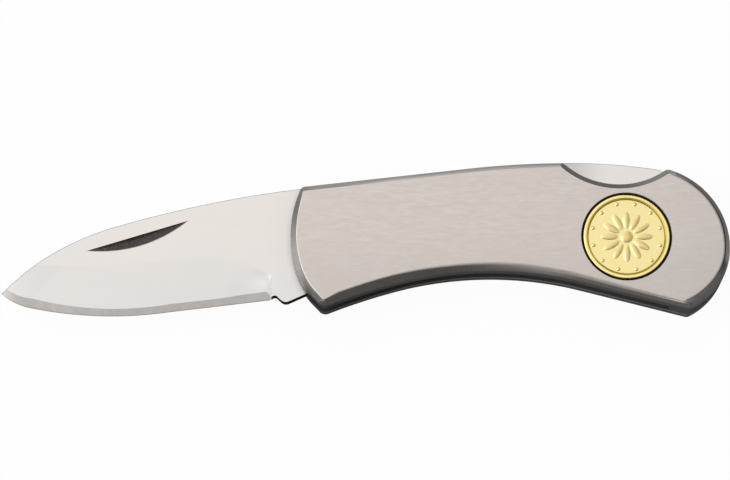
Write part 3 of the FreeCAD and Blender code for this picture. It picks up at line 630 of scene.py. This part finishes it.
# Liners and spacer in painted shade too
shaded_liner = shaded_wall("shaded_liner", SHADED_WALL_TONE, CHANNEL_SHADE_TONE, LIT_NOSE_WALL_TONE)
shaded_spacer = shaded_wall("shaded_spacer", SHADED_WALL_TONE, SPACER_SHADE_TONE, SHADED_WALL_TONE)
spring_blue = satin("spring_blue", SPRING_TONE, (0.8, 0.2, 0.2), 0.30)
pin_turned = turned("pin_turned", PIN_TONE, 0.30)
bronze_turned = turned("bronze_turned", BRONZE_TONE, 0.32)
gilt = gilt_plate("gilt_plate", medallion_top)
pad_rubber = black_rubber("pad_rubber")


# Pieces that stand for their solids, with rounded edges

def cad_shape(node):
    """A welded copy of a node, its sharp edges marked from the solid's own surfaces."""
    mesh = nodes[node].data
    shape = bmesh.new()
    shape.from_mesh(mesh)
    facing = shape.loops.layers.float_vector.new("facing")
    for face, polygon in zip(shape.faces, mesh.polygons):
        for loop, number in zip(face.loops, polygon.loop_indices):
            loop[facing] = mesh.corner_normals[number].vector
    bmesh.ops.remove_doubles(shape, verts=shape.verts, dist=WELD)
    weight = shape.edges.layers.float.new("bevel_weight_edge")
    for edge in shape.edges:
        if len(edge.link_loops) != 2:
            continue
        one, two = edge.link_loops
        turn = max(one[facing].angle(two.link_loop_next[facing], 0.0),
                   one.link_loop_next[facing].angle(two[facing], 0.0))
        edge.smooth = turn < SHARP_TURN
        edge[weight] = 1.0 if turn > ROUND_TURN else 0.0
    smooth = [edge for edge in shape.edges if edge.smooth]
    bmesh.ops.dissolve_limit(shape, angle_limit=FLAT_TURN, verts=shape.verts, edges=smooth)
    shape.loops.layers.float_vector.remove(shape.loops.layers.float_vector["facing"])
    for face in shape.faces:
        face.smooth = True
    return shape


def lean(face):
    """How far a face leans from level, in degrees."""
    return math.degrees(math.acos(min(1.0, abs(face.normal.z))))


def middle(edge):
    return (edge.verts[0].co + edge.verts[1].co) / 2


def way_down(end):
    """The way down the bevel from a point on its crest, for each unit of depth."""
    falls = [edge.other_vert(end).co - end.co for edge in end.link_edges]
    steepest = max(falls, key=lambda fall: abs(fall.z) / fall.length)
    return steepest / abs(steepest.z)


def soften(shape, edges, shift_at, widths_at):
    """Shifts crests and rounds them by widths on the face and down the bevel, from point to point."""
    ends = list({end: None for edge in edges for end in edge.verts})
    for end, shift in [(end, shift_at(end.co, way_down(end).xy.to_3d())) for end in ends]:
        end.co += shift
    tight = [middle(edge) for edge in edges if edge.calc_length() < TIGHT_EDGE]
    nearest = KDTree(len(ends))
    for number, end in enumerate(ends):
        nearest.insert(end.co, number)
    nearest.balance()
    downs = [way_down(end) for end in ends]
    weight = shape.edges.layers.float["bevel_weight_edge"]
    for edge in edges:
        edge[weight] = 0.0
    made = bmesh.ops.bevel(shape, geom=edges, offset=PILOT_ROUND, offset_type="OFFSET",
                           segments=CREST_STEPS, profile=0.5, affect="EDGES", material=-1,
                           loop_slide=False)
    for vert in made["verts"]:
        place, number, _ = nearest.find(vert.co)
        apart = min(((place - other).length for other in tight), default=LONG_ROUND)
        room = TIGHT_ROUND + TIGHT_GROWTH * apart
        inner, outer = (min(width, room) / PILOT_ROUND for width in widths_at(place))
        offset = vert.co - place
        vert.co = place + offset * inner + downs[number] * abs(offset.z) * (outer - inner)


def make_piece(name, shape, finishes):
    """A piece from a finished shape."""
    mesh = bpy.data.meshes.new(name)
    shape.to_mesh(mesh)
    shape.free()
    for material in finishes:
        mesh.materials.append(material)
    piece = bpy.data.objects.new(name, mesh)
    bpy.context.scene.collection.objects.link(piece)
    return piece


def round_edges(piece, width, material=-1):
    """Rounds the weighed edges of a piece, in its own finishes or in one of them."""
    rounding = piece.modifiers.new("edge_round", "BEVEL")
    rounding.limit_method = "WEIGHT"
    rounding.width = width
    rounding.segments = EDGE_STEPS
    rounding.profile = 0.5
    rounding.material = material
    rounding.loop_slide = False
    rounding.use_clamp_overlap = False
    flats = piece.modifiers.new("flat_faces", "WEIGHTED_NORMAL")
    flats.keep_sharp = True


def stand_for(piece, node, body):
    """Lets a piece take a node's place on its body."""
    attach(piece, body)
    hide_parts(node)


# Scales, and the order of their finishes

FACE, BEVEL, NOTCH, WALL = range(4)


def in_notch(place):
    return (place.xy - NOTCH_CENTRE).length < NOTCH_REACH and place.y > NOTCH_BELOW


def scale_finish(face):
    if lean(face) < FACE_LEAN:
        return FACE
    if lean(face) > WALL_LEAN:
        return WALL
    return NOTCH if in_notch(face.calc_center_median()) else BEVEL


def is_crest(edge):
    leans = sorted(lean(face) for face in edge.link_faces)
    return leans[0] < FACE_LEAN < leans[1] < WALL_LEAN


def ramp(value, low, high):
    """A straight rise from 0 at low to 1 at high."""
    return min(1.0, max(0.0, (value - low) / (high - low)))


def crest_shift(place, outward):
    """Narrows the bevel at the nose, the heel and the belly's rear, and widens the belly's front."""
    if place.x < NOSE_END and place.y > NOSE_MIDDLE:
        return NOSE_TOP_SLIDE * ramp(place.y, NOSE_MIDDLE, NOSE_TOP) ** 3
    if place.x < NOSE_END:
        return NOSE_BOTTOM_SLIDE * ramp(place.y, NOSE_MIDDLE, NOSE_BOTTOM) ** 3
    if place.x > HEEL_START:
        return HEEL_SLIDE * ramp(place.y, 0.0, HEEL_HEIGHT) ** 2.5
    if place.y > 0:
        return Vector()
    wider = WIDE_BEVEL * ramp(place.x, WIDE_GONE, WIDE_FULL) * ramp(place.x, NOSE_END, BELLY_START)
    return outward * (NARROW_BEVEL * ramp(place.x, NARROW_START, BELLY_REAR) - wider)


def crest_widths(place):
    """Keeps the crest crisp at the nose and the notch, and softest along the belly."""
    if place.x < CRISP_END or in_notch(place):
        return NOSE_ROUND, NOSE_ROUND
    if place.y > 0 or place.x > HEEL_START:
        upper = ramp(place.y, BUTT_LOW, BUTT_HIGH)
        outer = BUTT_ROUND if place.x > BUTT_START else BELLY_ROUND
        return BACK_ROUND, BACK_ROUND + (outer - BACK_ROUND) * upper
    along = ramp(place.x, SOFT_START, BELLY_REAR)
    inner = BACK_ROUND + (BELLY_ROUND - BACK_ROUND) * along
    return inner, BACK_ROUND + (LONG_ROUND - BACK_ROUND) * along


for node in ("front_scale", "rear_scale"):
    shape = cad_shape(node)
    for face in shape.faces:
        face.material_index = scale_finish(face)
    soften(shape, [edge for edge in shape.edges if is_crest(edge)], crest_shift, crest_widths)
    scale = make_piece(node + "_shell", shape, [scale_face, scale_bevel, notch_bevel, scale_wall])
    round_edges(scale, WALL_ROUND, WALL)
    stand_for(scale, node, "handle")


# Blade, and the order of its finishes

SIDE, BAND, SPINE, CHOIL, NICK = range(5)


def in_nick(face):
    place = face.calc_center_median()
    lowest = min(vert.co.z for vert in face.verts)
    inside = NICK_LEFT < place.x < NICK_RIGHT and place.y > NICK_BELOW
    return inside and blade_top - NICK_DEPTH < lowest < blade_top - NICK_LIP


def blade_finish(face):
    if in_nick(face):
        return NICK
    if lean(face) > STEEP_LEAN:
        return SPINE if face.normal.y > 0 else CHOIL
    reach = max(abs(vert.co.z - BLADE_MIDDLE) for vert in face.verts)
    return BAND if reach < BAND_HALF else SIDE


shape = cad_shape("blade")
weight = shape.edges.layers.float["bevel_weight_edge"]
for face in shape.faces:
    face.material_index = blade_finish(face)
    if face.material_index in (CHOIL, NICK):
        for edge in face.edges:
            edge[weight] = min(edge[weight], NICK_ROUND / BLADE_ROUND)
blade_finishes = [blade_flat, blade_edge, blade_spine, choil_wall, nick_cut]
ground_blade = make_piece("ground_blade", shape, blade_finishes)
round_edges(ground_blade, BLADE_ROUND, SPINE)
stand_for(ground_blade, "blade", "blade")


# Lock bar, and the order of its finishes

LOCK_SIDE, LOCK_BACK = range(2)

shape = cad_shape("lock_bar")
for face in shape.faces:
    face.material_index = LOCK_SIDE if lean(face) < SIDE_LEAN else LOCK_BACK
lock_bar = make_piece("lock_bar_shell", shape, [lock_flat, blade_spine])
round_edges(lock_bar, BLADE_ROUND, LOCK_BACK)
stand_for(lock_bar, "lock_bar", "lock_bar")


# Medallion

medallion = make_piece("medallion_disc", cad_shape("medallion"), [gilt])
round_edges(medallion, WALL_ROUND)
stand_for(medallion, "medallion", "handle")


# The lock spring bends between the handle and the lock bar

spring_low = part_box("lock_spring")[0]
spacer_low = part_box("back_spacer")[0]
bowed_spring = make_piece("bowed_spring", cad_shape("lock_spring"), [spring_blue])
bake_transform(bowed_spring, "handle", "lock_bar", start=(spacer_low.x, spring_low.y, spring_low.z),
         end=(spring_low.x, spring_low.y, spring_low.z))
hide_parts("lock_spring")


# Finishes of the nodes that keep their own shape

KEPT_FINISHES = {
    "front_liner": shaded_liner,
    "rear_liner": shaded_liner,
    "back_spacer": shaded_spacer,
    "blade_pivot_pin": pin_turned,
    "lock_bar_pin": pin_turned,
    "upper_spacer_pin": pin_turned,
    "lower_spacer_pin": pin_turned,
    "spring_pin": pin_turned,
    "front_scale_studs": pin_turned,
    "rear_scale_studs": pin_turned,
    "pivot_bushing": bronze_turned,
    "front_washer": bronze_turned,
    "rear_washer": bronze_turned,
    "medallion_pad": pad_rubber,
}
for node, material in KEPT_FINISHES.items():
    for slot in nodes[node].material_slots:
        slot.link = "OBJECT"
        slot.material = material


# Floor

floor_shape = bmesh.new()
bmesh.ops.create_grid(floor_shape, x_segments=1, y_segments=1, size=FLOOR_REACH)
bmesh.ops.translate(floor_shape, verts=floor_shape.verts, vec=(0, 0, -FLOOR_GAP))
white = finish("white_floor")
diffuse = white.node("ShaderNodeBsdfDiffuse", {}, {"Color": shade(FLOOR_TONE)})
glow = white.node("ShaderNodeEmission", {}, {"Color": shade(WHITE), "Strength": 1.0})
seen = white.node("ShaderNodeLightPath", {}, {}, "Is Camera Ray")
mirrored = white.node("ShaderNodeLightPath", {}, {}, "Is Glossy Ray")
passed = white.node("ShaderNodeLightPath", {}, {}, "Is Transmission Ray")
glowing = (seen + mirrored + passed) * FLOOR_GLOW
blend = white.node("ShaderNodeMixShader", {}, {0: glowing, 1: diffuse, 2: glow})
white.node("ShaderNodeOutputMaterial", {}, {"Surface": blend})
make_piece("floor", floor_shape, [white.owner])


# World: a ceiling leaning back, a strip and a soft box on the left, dim in front and on the right

world = bpy.data.worlds.new("studio")
bpy.context.scene.world = world
sky = Finish(world)
heading = sky.node("ShaderNodeTexCoord", {}, {}, "Generated")
east = sky.axis(heading, "X")
west = 0.0 - east
north = sky.axis(heading, "Y")
up = sky.axis(heading, "Z")
rise = up + sky.sum("MAXIMUM", north, 0.0) * 0.4
ceiling = sky.step(north, -0.95, 0.15) * sky.step(rise, 0.25, 0.75)
fall = 1 - sky.step(east, -0.10, 0.60) * 0.5
strip = (sky.step(west, 0.70, 0.95) * sky.step(north, -0.60, 0.05)
         * (1 - sky.step(north, 0.05, 0.60)) * (1 - sky.step(up, 0.20, 0.45)))
soft_box = (sky.step(west, 0.26, 0.50) * (1 - sky.step(west, 0.75, 0.90))
            * sky.step(north, -0.65, -0.35) * (1 - sky.step(north, 0.20, 0.40))
            * sky.step(up, 0.30, 0.55))
front = (1 - sky.step(north, -0.75, -0.35)) * (0.13 + sky.step(west, 0.30, 0.80) * 0.10)
strength = ceiling * fall + strip * STRIP_LIGHT + soft_box * SOFT_BOX_LIGHT + front + ROOM_LIGHT
background = sky.node("ShaderNodeBackground", {}, {"Color": shade(WHITE), "Strength": strength})
sky.node("ShaderNodeOutputWorld", {}, {"Surface": background})


# Camera

camera_data = bpy.data.cameras.new("camera")
camera_data.lens = LENS
camera_data.sensor_width = SENSOR
camera = bpy.data.objects.new("camera", camera_data)
bpy.context.scene.collection.objects.link(camera)
back = Vector((0.0, -math.sin(TILT), math.cos(TILT)))
camera.location = AIM + back * (PICTURE_WIDTH * LENS / SENSOR)
camera.rotation_mode = "QUATERNION"
camera.rotation_quaternion = (-back).to_track_quat("-Z", "Y")
bpy.context.scene.camera = camera
bpy.context.scene.view_settings.view_transform = "Standard"
